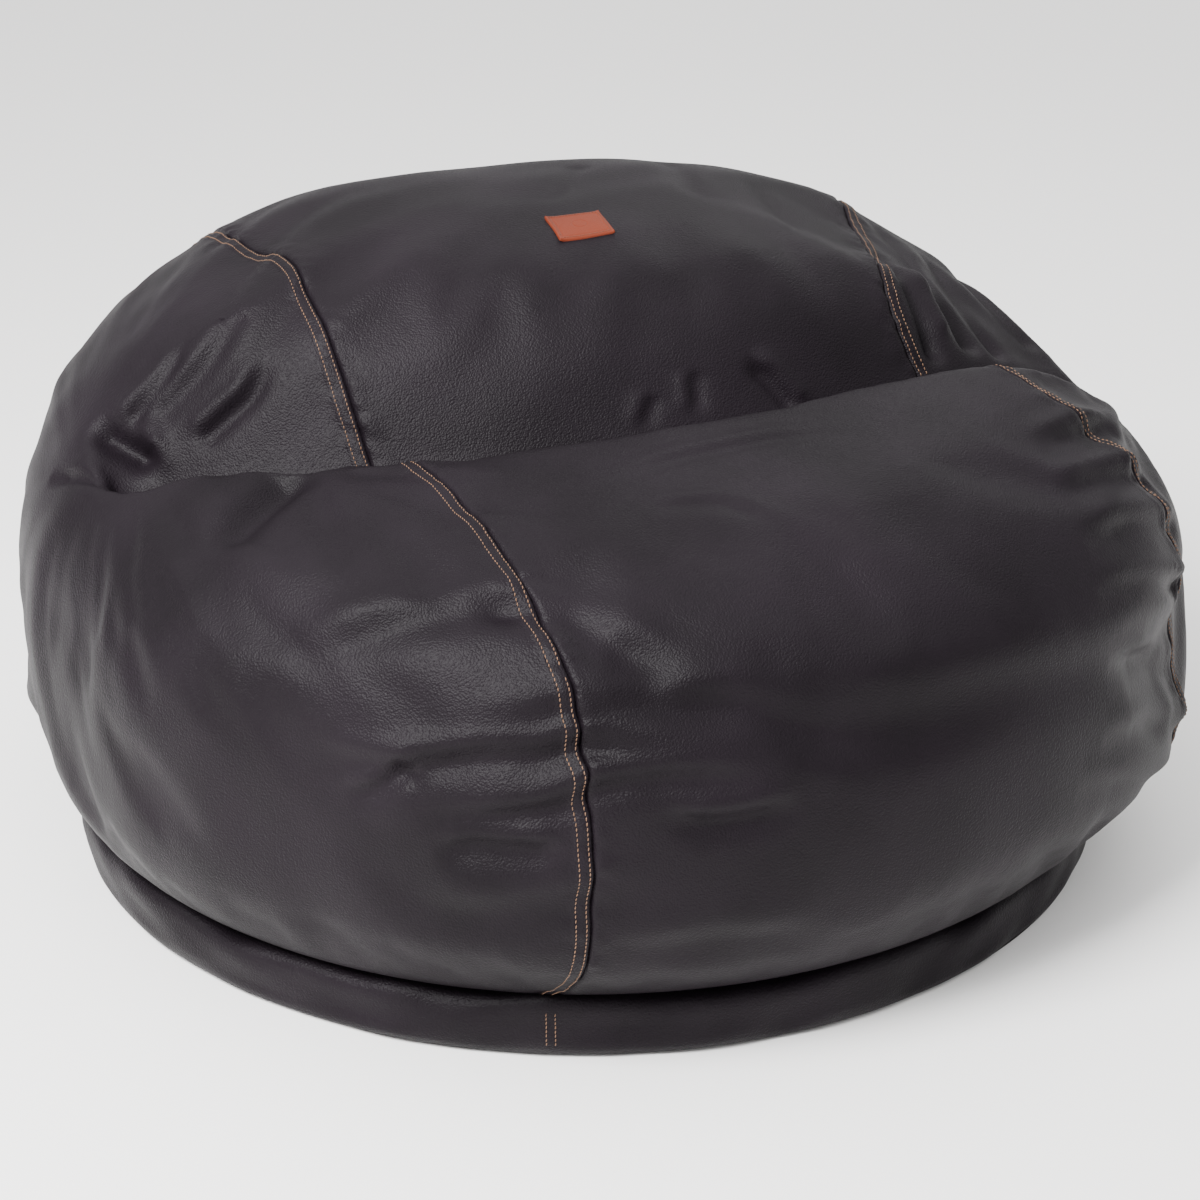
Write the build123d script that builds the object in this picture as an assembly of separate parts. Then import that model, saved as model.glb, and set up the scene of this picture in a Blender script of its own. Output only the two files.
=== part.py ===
from build123d import *

import math
import os

# Bean bag chair: a big, low, foam-filled bag in a leather cover, with a seat fold pressed across it.
# Millimetres, +Z up. The origin is on the floor under the middle of the bag. The sitter faces -Y: the front
# seat roll is at -Y, the backrest mound at +Y, and the seat fold runs from left to right between them.
# The cover is a wide centre panel (up the front, through the fold, over the mound and down the back), two
# side panels and a round base panel. Its zip runs round the back of the base roll, the low roll at the floor.

# ---------------------------------------------------------------- driving dimensions
BAG_RADIUS = 585.0  # the belly, the widest ring of the bag
BELLY_HEIGHT = 297.0  # height of that ring
SEAT_TOP = 500.0  # top of the front seat roll
SEAT_CORNER = 168.0  # radius of the bend from the belly onto the seat
FLANK_RADIUS, FLANK_ARC = 1400.0, 6.72  # the nearly upright side below the belly, and its arc in degrees
UNDER_CORNER = 75.0  # radius of the bend from the flank under the bag

BASE_SEAM_RADIUS = 514.0  # where the walls are sewn to the base panel
ROLL_RADIUS = 532.0  # the base roll's upright face
ROLL_TOE, ROLL_SHOULDER, ROLL_TOP = 13.0, 12.0, 55.0
NIP_RADIUS = 505.0  # bottom of the groove between the base roll and the belly

MOUND_X, MOUND_Y = -20.0, 140.0  # the backrest mound's left-to-right axis
MOUND_TOP = 628.0
MOUND_RADIUS = 332.0
MOUND_HALF_WIDTH = 560.0
MOUND_CORNER = 225.0  # radius of the bends at the mound's two ends

FOLD_BEND = 760.0  # radius of the seat fold, seen from above
FOLD_Y = -168.0  # the fold at the middle
FOLD_BOTTOM = 375.0
FOLD_ROUND = 9.0  # radius of the fold's bottom
FOLD_LEAN = 12.0  # degrees that each side of the fold leans from upright
FOLD_HALF_ANGLE = 52.0  # degrees of the bend to each side

LEATHER = 2.0
LINER_GAP, LINER = 0.6, 1.2
FILL_GAP = 0.6
ROLL_SLACK = 9.0  # the liner stands this much further back behind the zip

# The side seams, seen from above, from in front of the bag to behind it.
LEFT_SEAM = [(-120, -700), (-147, -553), (-205, -260), (-282, -66), (-303, 50), (-337, 152), (-420, 700)]
RIGHT_SEAM = [(800, -590), (446, -292), (285, -78), (296, 20), (304, 120), (390, 700)]
ROW_OFFSETS = (3.0, 10.5)  # the two stitch rows, from the seam, both on the side panel
THREAD_WIDTH, THREAD_PROUD = 1.0, 0.6

ZIP_HEIGHT = 28.0
ZIP_START, ZIP_END = 57.0, 123.0  # degrees from +X, anticlockwise seen from above
ZIP_SLOT = 16.0  # height of the gap between the leather edges
TAPE_RECESS, TAPE = 1.0, 0.9
CHAIN_GAP = 2.0  # between the two coils, for the slider's post
COIL_HEIGHT, COIL_PROUD = 1.9, 1.1  # COIL_PROUD: how far a coil stands out past the leather's face
ZIP_ROW_OFFSET = 3.0  # stitch rows, from the edges of the slot
STOP_ANGLE = 0.5  # degrees of arc that an end stop takes
SLIDER_LENGTH, SLIDER_WIDTH, WING = 17.0, 11.0, 1.2
SLIDER_REST = ZIP_START + 2.0  # degrees, at the closed end
WING_CLEARANCE = 0.9  # from the coils to the outer wing
LIP_RISE, LIP_WALL = 1.2, 0.9
POST_LENGTH, POST_WIDTH = 4.0, 1.3
BRIDGE_LENGTH, BRIDGE_WIDTH, BRIDGE_RISE, BRIDGE_WALL = 10.0, 2.2, 3.6, 1.1
BRIDGE_ROUND = 1.8
PULL_LENGTH, PULL_WIDTH, PULL_THICK = 33.0, 8.0, 1.4
PULL_EYE_LENGTH, PULL_EYE_WIDTH, PULL_PIN = 7.0, 3.2, 1.4
PULL_GAP = 0.3  # between the pull and the slider's outer wing

LABEL_WIDTH, LABEL_DEPTH, LABEL_THICK = 55.0, 50.0, 1.8
LABEL_X, LABEL_TILT, LABEL_TURN = -22.0, 25.0, 5.0  # tilt: degrees in front of the mound's top line
LABEL_MARGIN = 3.0  # the label's stitch row, from its edge

FAR = 2000.0  # longer than anything in the bag


# ---------------------------------------------------------------- the bag's form
def basket(half, rise, corner):
    """A flattened arch of two corner arcs and a crown arc: the crown arc's radius and where the arcs meet."""
    crown = (half**2 - 2 * half * corner + rise**2) / (2 * (rise - corner))
    meet = math.degrees(math.atan2(crown - rise, half - corner))
    return crown, meet


def belly(inset):
    """The round body, the groove under it and the base roll. Plain arcs keep every inset exact."""
    rise = SEAT_TOP - BELLY_HEIGHT
    crown, meet = basket(BAG_RADIUS, rise, SEAT_CORNER)
    shoulder_x = BAG_RADIUS - SEAT_CORNER
    flank_x = BAG_RADIUS - FLANK_RADIUS
    arc = math.radians(FLANK_ARC)
    under_x = flank_x + (FLANK_RADIUS - UNDER_CORNER) * math.cos(arc)
    under_z = BELLY_HEIGHT - (FLANK_RADIUS - UNDER_CORNER) * math.sin(arc)
    nip = NIP_RADIUS - inset
    under_radius = UNDER_CORNER - inset
    under_end = math.degrees(math.acos((nip - under_x) / under_radius))
    nip_z = under_z - under_radius * math.sin(math.radians(under_end))
    top_x, top_z = ROLL_RADIUS - ROLL_SHOULDER, ROLL_TOP - ROLL_SHOULDER
    toe_x = ROLL_RADIUS - ROLL_TOE
    with BuildPart() as part:
        with BuildSketch(Plane.XZ):
            with BuildLine():
                CenterArc((0, SEAT_TOP - crown), crown - inset, meet, 90 - meet)
                CenterArc((shoulder_x, BELLY_HEIGHT), SEAT_CORNER - inset, 0, meet)
                CenterArc((flank_x, BELLY_HEIGHT), FLANK_RADIUS - inset, -FLANK_ARC, FLANK_ARC)
                CenterArc((under_x, under_z), under_radius, -under_end, under_end - FLANK_ARC)
                Polyline((nip, nip_z), (nip, ROLL_TOP - inset), (top_x, ROLL_TOP - inset))
                CenterArc((top_x, top_z), ROLL_SHOULDER - inset, 0, 90)
                Line((ROLL_RADIUS - inset, top_z), (ROLL_RADIUS - inset, ROLL_TOE))
                CenterArc((toe_x, ROLL_TOE), ROLL_TOE - inset, -90, 90)
                Polyline((toe_x, inset), (0, inset), (0, SEAT_TOP - inset))
            make_face()
        revolve(axis=Axis.Z)
    return part.part


def mound(inset):
    """The backrest: a flattened arch turned about an axis that runs from left to right."""
    crown, meet = basket(MOUND_HALF_WIDTH, MOUND_RADIUS, MOUND_CORNER)
    corner_x = MOUND_HALF_WIDTH - MOUND_CORNER
    end = MOUND_HALF_WIDTH - inset
    with BuildPart() as part:
        with BuildSketch(Plane.XY):
            with BuildLine():
                CenterArc((corner_x, 0), MOUND_CORNER - inset, 0, meet)
                CenterArc((0, MOUND_RADIUS - crown), crown - inset, meet, 180 - 2 * meet)
                CenterArc((-corner_x, 0), MOUND_CORNER - inset, 180 - meet, meet)
                Line((-end, 0), (end, 0))
            make_face()
        revolve(axis=Axis.X)
    upper = Pos(0, 0, FAR / 2 + BELLY_HEIGHT / 2) * Box(FAR, FAR, FAR)
    return Pos(MOUND_X, MOUND_Y, MOUND_TOP - MOUND_RADIUS) * part.part & upper


def fold(inset):
    """The cutter for the seat fold: a V with a round bottom, bent in an arc round a point behind the bag."""
    radius = FOLD_ROUND + inset
    middle = FOLD_BOTTOM + FOLD_ROUND
    lean = math.radians(FOLD_LEAN)
    low = (radius * math.cos(lean), middle - radius * math.sin(lean))
    length = MOUND_TOP - FOLD_BOTTOM
    high = (low[0] + length * math.sin(lean), low[1] + length * math.cos(lean))
    with BuildPart() as part:
        with BuildSketch(Plane.XZ):
            with BuildLine():
                CenterArc((FOLD_BEND, middle), radius, 180 + FOLD_LEAN, 180 - 2 * FOLD_LEAN)
                Polyline(
                    (FOLD_BEND + low[0], low[1]),
                    (FOLD_BEND + high[0], high[1]),
                    (FOLD_BEND - high[0], high[1]),
                    (FOLD_BEND - low[0], low[1]),
                )
            make_face()
        revolve(axis=Axis.Z, revolution_arc=2 * FOLD_HALF_ANGLE)
    turned = Rot(0, 0, -90 - FOLD_HALF_ANGLE) * part.part
    return Pos(0, FOLD_Y + FOLD_BEND, 0) * turned


def bag(inset):
    """The whole bag's form, taken in by inset all round."""
    return (belly(inset) + mound(inset)) - fold(inset)


def beside(seam, side, shift=0.0):
    """Everything beyond a side seam: side is -1 for the left and 1 for the right, shift moves it outwards."""
    far_side = [(side * FAR, seam[-1][1]), (side * FAR, seam[0][1])]
    region = make_face(Polyline(*seam, *far_side, seam[0]))
    if shift:
        region = offset(region, -shift, kind=Kind.INTERSECTION)
    return extrude(region, FAR)


def ring(inner, outer, low, high, start, end):
    """A strip of a cylinder round the Z axis, between two heights and two angles."""
    with BuildPart() as part:
        with BuildSketch(Plane.XZ):
            with Locations(((inner + outer) / 2, (low + high) / 2)):
                Rectangle(outer - inner, high - low)
        revolve(axis=Axis.Z, revolution_arc=end - start)
    return Rot(0, 0, start) * part.part


# ---------------------------------------------------------------- the cover
def cover_panels():
    """The centre and side panels, with the zip's slot, and the base panel."""
    base_hole = Cylinder(BASE_SEAM_RADIUS, 4 * LEATHER)
    slot_low, slot_high = ZIP_HEIGHT - ZIP_SLOT / 2, ZIP_HEIGHT + ZIP_SLOT / 2
    slot = ring(ROLL_RADIUS - 2 * LEATHER, ROLL_RADIUS + LEATHER, slot_low, slot_high, ZIP_START, ZIP_END)
    walls = bag(0) - bag(LEATHER) - base_hole - slot
    left = beside(LEFT_SEAM, -1)
    right = beside(RIGHT_SEAM, 1)
    return {
        "cover_centre_panel": walls - left - right,
        "cover_left_panel": walls & left,
        "cover_right_panel": walls & right,
        "cover_base_panel": Pos(0, 0, LEATHER / 2) * Cylinder(BASE_SEAM_RADIUS, LEATHER),
    }


def seam_threads():
    """Two rows of topstitching along each side seam, on the side panels."""
    above_groove = Pos(0, 0, FAR / 2 + ROLL_TOP + UNDER_CORNER / 4) * Box(FAR, FAR, FAR)
    skin = (bag(-THREAD_PROUD) & above_groove) - bag(0)
    nodes = {}
    for name, seam, side in (("topstitch_left_seam", LEFT_SEAM, -1), ("topstitch_right_seam", RIGHT_SEAM, 1)):
        rows = []
        for row in ROW_OFFSETS:
            strip = beside(seam, side, row) - beside(seam, side, row + THREAD_WIDTH)
            rows += (skin & strip).solids()
        nodes[name] = Compound(children=rows)
    return nodes


# ---------------------------------------------------------------- the zip
def zip_parts():
    """Tapes, coils, end stops and the two stitch rows, which stay with the cover."""
    tape_face = ROLL_RADIUS - TAPE_RECESS
    coil_face = ROLL_RADIUS + COIL_PROUD
    first, last = ZIP_START + STOP_ANGLE, ZIP_END - STOP_ANGLE
    nodes = {}
    closed_stops, open_stops = [], []
    for name, side in (("lower", -1), ("upper", 1)):
        inner_edge = ZIP_HEIGHT + side * CHAIN_GAP / 2
        outer_edge = ZIP_HEIGHT + side * ZIP_SLOT / 2
        coil_edge = inner_edge + side * COIL_HEIGHT
        row = outer_edge + side * ZIP_ROW_OFFSET
        low, high = sorted((inner_edge, outer_edge))
        nodes[f"zip_tape_{name}"] = ring(tape_face - TAPE, tape_face, low, high, ZIP_START, ZIP_END)
        low, high = sorted((inner_edge, coil_edge))
        nodes[f"zip_coil_{name}"] = ring(tape_face, coil_face, low, high, first, last)
        closed_stops.append(ring(tape_face, coil_face, low, high, ZIP_START, first))
        open_stops.append(ring(tape_face, coil_face, low, high, last, ZIP_END))
        low, high = row - THREAD_WIDTH / 2, row + THREAD_WIDTH / 2
        row_face = ROLL_RADIUS + THREAD_PROUD
        nodes[f"topstitch_zip_{name}"] = ring(ROLL_RADIUS, row_face, low, high, ZIP_START, ZIP_END)
    nodes["zip_stops_closed_end"] = Compound(children=closed_stops)
    nodes["zip_stops_open_end"] = Compound(children=open_stops)
    return nodes


def at_slider(shape):
    """From the slider's own frame (X along the zip, Y up the tape, Z out of the bag) to its place at rest."""
    angle = math.radians(SLIDER_REST)
    place = Plane(
        origin=(ROLL_RADIUS * math.cos(angle), ROLL_RADIUS * math.sin(angle), ZIP_HEIGHT),
        x_dir=(-math.sin(angle), math.cos(angle), 0),
        z_dir=(math.cos(angle), math.sin(angle), 0),
    )
    return place * shape


def zip_slider():
    """Two wings joined by a post that runs between the coils, side lips, and a bridge for the pull."""
    outer_face = COIL_PROUD + WING_CLEARANCE
    inner_face = -(TAPE_RECESS + TAPE + WING_CLEARANCE / 2)
    corner = SLIDER_WIDTH * 0.35
    wing = RectangleRounded(SLIDER_LENGTH, SLIDER_WIDTH, corner)
    body = extrude(Pos(0, 0, outer_face) * wing, WING) + extrude(Pos(0, 0, inner_face - WING) * wing, WING)
    post_height = outer_face - inner_face + WING
    body += Pos(0, 0, (outer_face + inner_face) / 2) * Box(POST_LENGTH, POST_WIDTH, post_height)
    for side in (-1, 1):
        lip = Box(SLIDER_LENGTH - 2 * corner, LIP_WALL, LIP_RISE + WING)
        body += Pos(0, side * (SLIDER_WIDTH - LIP_WALL) / 2, outer_face + (WING - LIP_RISE) / 2) * lip
    top = outer_face + WING
    bridge = Box(BRIDGE_LENGTH, BRIDGE_WIDTH, BRIDGE_RISE + WING)
    bridge = fillet(bridge.edges().filter_by(Axis.Y).group_by(Axis.Z)[-1], BRIDGE_ROUND)
    window = Box(BRIDGE_LENGTH - 2 * BRIDGE_WALL, 2 * BRIDGE_WIDTH, BRIDGE_RISE - BRIDGE_WALL)
    body += Pos(0, 0, top + (BRIDGE_RISE - WING) / 2) * bridge
    body -= Pos(0, 0, top + (BRIDGE_RISE - BRIDGE_WALL) / 2) * window
    return at_slider(body)


def zip_pull():
    """A flat tab with an eye at one end, whose pin lies under the slider's bridge."""
    pin_height = COIL_PROUD + WING_CLEARANCE + WING + PULL_GAP + PULL_PIN / 2
    end = PULL_EYE_LENGTH + PULL_LENGTH
    plate = Pos(end / 2, 0, 0) * RectangleRounded(end, PULL_WIDTH, PULL_WIDTH * 0.3)
    root = Pos(PULL_WIDTH / 4, 0, 0) * Rectangle(PULL_WIDTH / 2, PULL_WIDTH)
    eye = Pos(PULL_EYE_LENGTH / 2, 0, 0) * Rectangle(PULL_EYE_LENGTH, PULL_EYE_WIDTH)
    hole = Pos(end - PULL_WIDTH / 2, 0, 0) * Circle(PULL_WIDTH / 5)
    tab = extrude(plate + root - eye - hole, PULL_THICK / 2, both=True)
    pin = Rot(90, 0, 0) * Cylinder(PULL_PIN / 2, PULL_WIDTH)
    laid_back = Rot(0, 0, 180) * (tab + pin)
    return at_slider(Pos(0, 0, pin_height) * laid_back)


# ---------------------------------------------------------------- label, liner and fill
def label_parts():
    """The leather patch on the backrest and the row of stitches round its edge, both following the mound."""
    tilt = math.radians(LABEL_TILT)
    spot_y = MOUND_Y - MOUND_RADIUS * math.sin(tilt)
    spot_z = MOUND_TOP - MOUND_RADIUS + MOUND_RADIUS * math.cos(tilt)
    frame = Pos(LABEL_X, spot_y, spot_z) * Rot(LABEL_TILT, 0, 0) * Rot(0, 0, LABEL_TURN)
    outline = RectangleRounded(LABEL_WIDTH, LABEL_DEPTH, 2)
    row_width, row_depth = LABEL_WIDTH - 2 * LABEL_MARGIN, LABEL_DEPTH - 2 * LABEL_MARGIN
    row = Rectangle(row_width, row_depth) - Rectangle(row_width - 2 * THREAD_WIDTH, row_depth - 2 * THREAD_WIDTH)
    face = mound(-LABEL_THICK)
    reach = 10 * LABEL_THICK
    patch = (face & (frame * extrude(outline, reach, both=True))) - mound(0)
    stitches = (mound(-LABEL_THICK - THREAD_PROUD) & (frame * extrude(row, reach, both=True))) - face
    return {"label_patch": patch, "label_stitches": stitches}


def inner_parts():
    """The sewn liner and the shredded foam inside it, both standing back from the zip in the base roll."""
    forms = []
    for inset in (LEATHER + LINER_GAP, LEATHER + LINER_GAP + LINER, LEATHER + LINER_GAP + LINER + FILL_GAP):
        roll = ROLL_RADIUS - ROLL_SLACK - inset
        forms.append(bag(inset) - ring(roll, BAG_RADIUS, 0, ROLL_TOP, 0, 360))
    return {"inner_liner": forms[0] - forms[1], "foam_fill": forms[2]}


def main():
    nodes = {
        **cover_panels(),
        **seam_threads(),
        **zip_parts(),
        "zip_slider": zip_slider(),
        "zip_pull": zip_pull(),
        **label_parts(),
        **inner_parts(),
    }
    os.makedirs("parts", exist_ok=True)
    for name, shape in nodes.items():
        export_step(shape, f"parts/{name}.step")
        size = shape.bounding_box().size
        print(name, len(shape.solids()), "solids", round(size.X, 1), round(size.Y, 1), round(size.Z, 1))


main()
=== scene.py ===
import math

import bmesh
import bpy
import numpy as np
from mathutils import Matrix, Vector
from mathutils.bvhtree import BVHTree


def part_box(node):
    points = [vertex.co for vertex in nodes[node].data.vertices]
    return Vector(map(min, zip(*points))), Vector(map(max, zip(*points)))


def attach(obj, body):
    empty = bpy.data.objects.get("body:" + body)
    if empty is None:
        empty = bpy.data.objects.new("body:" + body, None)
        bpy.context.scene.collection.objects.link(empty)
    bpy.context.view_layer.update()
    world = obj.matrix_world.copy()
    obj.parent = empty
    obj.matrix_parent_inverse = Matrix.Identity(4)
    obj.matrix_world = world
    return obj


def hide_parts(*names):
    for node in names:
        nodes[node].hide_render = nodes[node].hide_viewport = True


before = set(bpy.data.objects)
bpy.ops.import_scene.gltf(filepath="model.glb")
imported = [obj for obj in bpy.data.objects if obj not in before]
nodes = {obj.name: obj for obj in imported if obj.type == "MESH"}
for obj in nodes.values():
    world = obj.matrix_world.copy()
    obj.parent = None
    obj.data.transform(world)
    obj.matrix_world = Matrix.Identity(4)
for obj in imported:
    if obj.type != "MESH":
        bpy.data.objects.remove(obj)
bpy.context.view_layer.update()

# A bean bag chair in black leather: three cover panels over a foam-filled liner, a base roll with its
# zip, tan topstitching and a stitched label. The skin is formed in one piece, folded, settled as cloth
# and then cut into the panels along the two side seams.

# ---------------------------------------------------------------- sizes, in metres
GRID = 0.0102  # spacing of the skin's first mesh
NIP_Z = 0.057  # groove between the belly and the base roll
ROLL_R = 0.532  # the base roll's face, where the zip is
ZIP_LOW, ZIP_HIGH = 57.0, 123.0  # the zip's ends round the roll, in degrees
ROLL_SHIFT, ROLL_SHIFT_WAY = 0.014, 2.9  # how far the roll sits off centre, and which way in radians
SEAT_FOLD = dict(y=-0.200, bend=0.62, lean=0.42, depth=0.125, width=0.030)
BELLY = dict(centre=(0, 0, .181), axes=(.585, .585, .319), power_up=3.505, power_low=3.205, drop=.208)
MOUND = dict(centre=(-.030, .135, .273), axes=(.552, .411, .345), power_up=2.45, power_low=2.45, drop=.345)
MOUND_BLEND = 0.04  # how softly the mound runs into the belly
NIP_ROUND = 0.005  # how softly the belly turns into its flat underside
LABEL_AT = (-.022, -.006)
LABEL_TURN = math.radians(5)
LABEL_W, LABEL_D, LABEL_T = .056, .050, .0018

# The side seams in plan, front to back. They lie within 18 mm of the CAD's.
LEFT_SEAM = [
    (-.120, -.700), (-.153, -.553), (-.214, -.262), (-.284, -.064),
    (-.304, .050), (-.338, .150), (-.420, .700),
]
RIGHT_SEAM = [
    (.800, -.590), (.446, -.292), (.268, -.085),
    (.288, .020), (.304, .120), (.390, .700),
]


# ---------------------------------------------------------------- small helpers
def lerp_smooth(points, count, passes):
    """A polyline resampled evenly and rounded."""
    p = np.array(points, float)
    run = np.r_[0, np.cumsum(np.linalg.norm(np.diff(p, axis=0), axis=1))]
    t = np.linspace(0, run[-1], count)
    q = np.stack([np.interp(t, run, p[:, i]) for i in range(p.shape[1])], 1)
    for _ in range(passes):
        q[1:-1] = (q[:-2] + 2 * q[1:-1] + q[2:]) / 4
    return q


def smooth_noise(p, scale, seed, octaves=2):
    """Soft noise, about -1 to 1, at points p (n, 3), from a few seeded sine waves."""
    r = np.random.default_rng(seed)
    out = np.zeros(len(p))
    amp, total = 1.0, 0.0
    for _ in range(octaves):
        for _ in range(6):
            k = r.normal(size=3)
            k *= 2 * np.pi / (scale * np.linalg.norm(k)) * r.uniform(0.7, 1.35)
            out += amp * np.sin(p @ k + r.uniform(0, 6.28))
        total += amp * 2.4
        amp *= 0.55
        scale *= 0.5
    return out / total


def new_object(name, verts, faces, material):
    mesh = bpy.data.meshes.new(name)
    mesh.from_pydata([tuple(v) for v in np.asarray(verts).tolist()], [], [tuple(f) for f in faces])
    mesh.validate()
    mesh.shade_smooth()
    obj = bpy.data.objects.new(name, mesh)
    bpy.context.scene.collection.objects.link(obj)
    if material:
        mesh.materials.append(material)
    return obj


# ---------------------------------------------------------------- the bag's form
def superform(p, centre, axes, power_up, power_low, drop):
    """Signed, roughly metric distance to a squared-off ellipsoid."""
    x, y, z = p[0] - centre[0], p[1] - centre[1], p[2] - centre[2]
    flat = np.hypot(x / axes[0], y / axes[1])
    up = z >= 0
    power = np.where(up, power_up, power_low)
    q = (flat**power + (np.abs(z) / np.where(up, axes[2], drop)) ** power) ** (1 / power)
    return (1 - 1 / np.maximum(q, 1e-3)) * np.sqrt(x * x + y * y + z * z)


def soft_min(a, b, k):
    """The lower of a and b, rounded over where they meet."""
    h = np.clip(0.5 + 0.5 * (b - a) / k, 0, 1)
    return b * (1 - h) + a * h - k * h * (1 - h)


def lump(p, centre, width):
    """A soft bump, 1 at its centre."""
    return np.exp(-sum(((p[i] - centre[i]) / width[i]) ** 2 for i in range(3)))


LUMPS = [  # centre, width, how far it stands out
    ((.38, -.12, .48), (.26, .25, .12), .024),
    ((-.16, -.30, .47), (.34, .20, .10), -.026),
    ((.40, .00, .51), (.07, .09, .07), -.014),
    ((.300, .185, .600), (.05, .06, .05), .008),
    ((.385, .130, .565), (.06, .08, .06), -.012),
    ((-.275, .285, .580), (.13, .13, .13), .0055),
    ((-.105, .270, .605), (.13, .13, .13), -.0045),
    ((.230, .230, .590), (.13, .13, .13), .0045),
    ((.370, .145, .550), (.13, .13, .13), -.008),
    ((.525, -.175, .390), (.13, .13, .13), -.006),
    ((.515, -.275, .280), (.13, .13, .13), .008),
    ((.55, -.30, .12), (.20, .20, .12), .010),
]


def across_fold(x, y, z):
    """Distance behind the middle of the seat fold, which bends round the mound and leans back."""
    return y - (SEAT_FOLD["y"] + SEAT_FOLD["bend"] * x * x + (z - 0.45) * SEAT_FOLD["lean"])


def trench(p, width):
    """How far the seat fold is pressed in at each point, for a fold of this width."""
    x, y, z = p
    ends = np.clip((x + 0.505) / 0.06, 0, 1) * np.clip((0.545 - x) / 0.09, 0, 1)
    deep = SEAT_FOLD["depth"] * np.clip((z - 0.22) / 0.12, 0, 1) * ends
    return deep * np.exp(-((across_fold(x, y, z) / width) ** 2))


def form(p):
    """Below 0 inside the bag: belly and mound run together, with the seat fold pressed in between."""
    x, _, z = p
    f = soft_min(superform(p, **BELLY), superform(p, **MOUND), MOUND_BLEND)
    for centre, width, out in LUMPS:
        f = f - out * lump(p, centre, width)
    f = f + trench(p, SEAT_FOLD["width"])
    f = f + (0.027 + 0.020 * x) * np.clip((0.19 - z) / 0.13, 0, 1) ** 1.6
    under = NIP_Z - 0.003 - z
    h = np.clip(0.5 + 0.5 * (f - under) / NIP_ROUND, 0, 1)
    return under * (1 - h) + f * h + NIP_ROUND * h * (1 - h)


def surface_net(fn, low, high, step):
    """An all-quad mesh of fn = 0: one point in each grid cell the surface crosses."""
    count = [int(np.ceil((b - a) / step)) + 1 for a, b in zip(low, high)]
    axis = [low[i] + step * np.arange(count[i]) for i in range(3)]
    f = fn(np.meshgrid(*axis, indexing="ij"))
    cells = tuple(n - 1 for n in count)
    total = np.zeros(cells + (3,))
    hits = np.zeros(cells)
    quads = []
    for a in range(3):
        first = tuple(slice(0, -1) if i == a else slice(None) for i in range(3))
        second = tuple(slice(1, None) if i == a else slice(None) for i in range(3))
        cross = np.argwhere((f[first] < 0) != (f[second] < 0))
        fa, fb = f[first][tuple(cross.T)], f[second][tuple(cross.T)]
        spot = np.stack([axis[i][cross[:, i]] for i in range(3)], 1)
        spot[:, a] += fa / (fa - fb) * step
        b, c = [i for i in range(3) if i != a]
        ring = []
        for db, dc in ((-1, -1), (0, -1), (0, 0), (-1, 0)):
            cell = cross.copy()
            cell[:, b] += db
            cell[:, c] += dc
            np.add.at(total, tuple(cell.T), spot)
            np.add.at(hits, tuple(cell.T), 1)
            ring.append(np.ravel_multi_index(tuple(cell.T), cells))
        quad = np.stack(ring, 1)
        turn = (fa < 0) if a != 1 else (fa >= 0)
        quad[~turn] = quad[~turn][:, ::-1]
        quads.append(quad)
    quads = np.concatenate(quads)
    used = np.flatnonzero(hits.ravel() > 0)
    index = -np.ones(hits.size, int)
    index[used] = np.arange(len(used))
    points = total.reshape(-1, 3)[used] / hits.ravel()[used][:, None]
    return points, index[quads]


def neighbours(faces, count):
    """The mesh's edges, and how many of them meet at each point."""
    e = np.concatenate([faces[:, [i, (i + 1) % 4]] for i in range(4)])
    e = np.unique(np.sort(e, 1), axis=0)
    return e, np.bincount(e.ravel(), minlength=count)[:, None]


def relax(points, edges, degree, passes, amount=0.5):
    """Moves each point part of the way to the middle of its neighbours."""
    p = points.copy()
    for _ in range(passes):
        total = np.zeros_like(p)
        for i in range(3):
            total[:, i] = np.bincount(edges[:, 0], p[edges[:, 1], i], len(p))
            total[:, i] += np.bincount(edges[:, 1], p[edges[:, 0], i], len(p))
        p += amount * (total / degree - p)
    return p


def quad_normals(points, faces):
    """Unit normals at the points of an all-quad mesh."""
    n = np.cross(points[faces[:, 2]] - points[faces[:, 0]], points[faces[:, 3]] - points[faces[:, 1]])
    out = np.zeros_like(points)
    for c in range(4):
        for i in range(3):
            out[:, i] += np.bincount(faces[:, c], n[:, i], len(points))
    return out / np.maximum(np.linalg.norm(out, axis=1, keepdims=True), 1e-12)


points, faces = surface_net(form, (-.66, -.66, .02), (.66, .66, .72), GRID)
edges, degree = neighbours(faces, len(points))
points = relax(points, edges, degree, 3)
normals = quad_normals(points, faces)
if normals[np.argmax(points[:, 2]), 2] < 0:
    faces = faces[:, ::-1]
    normals = -normals


# ---------------------------------------------------------------- the sculpted folds
def along(points, path):
    """For each point: distance from a path, place along it (0 to 1), nearest spot and direction there."""
    best = np.full(len(points), 9.0)
    place = np.zeros(len(points))
    spot = np.zeros_like(points)
    way = np.zeros_like(points)
    for i in range(len(path) - 1):
        a, d = path[i], path[i + 1] - path[i]
        t = np.clip(((points - a) @ d) / (d @ d), 0, 1)
        here = a + t[:, None] * d
        dist = np.linalg.norm(points - here, axis=1)
        near = dist < best
        best[near] = dist[near]
        place[near] = ((i + t) / (len(path) - 1))[near]
        spot[near] = here[near]
        way[near] = d / np.linalg.norm(d)
    return best, place, spot, way


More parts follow.
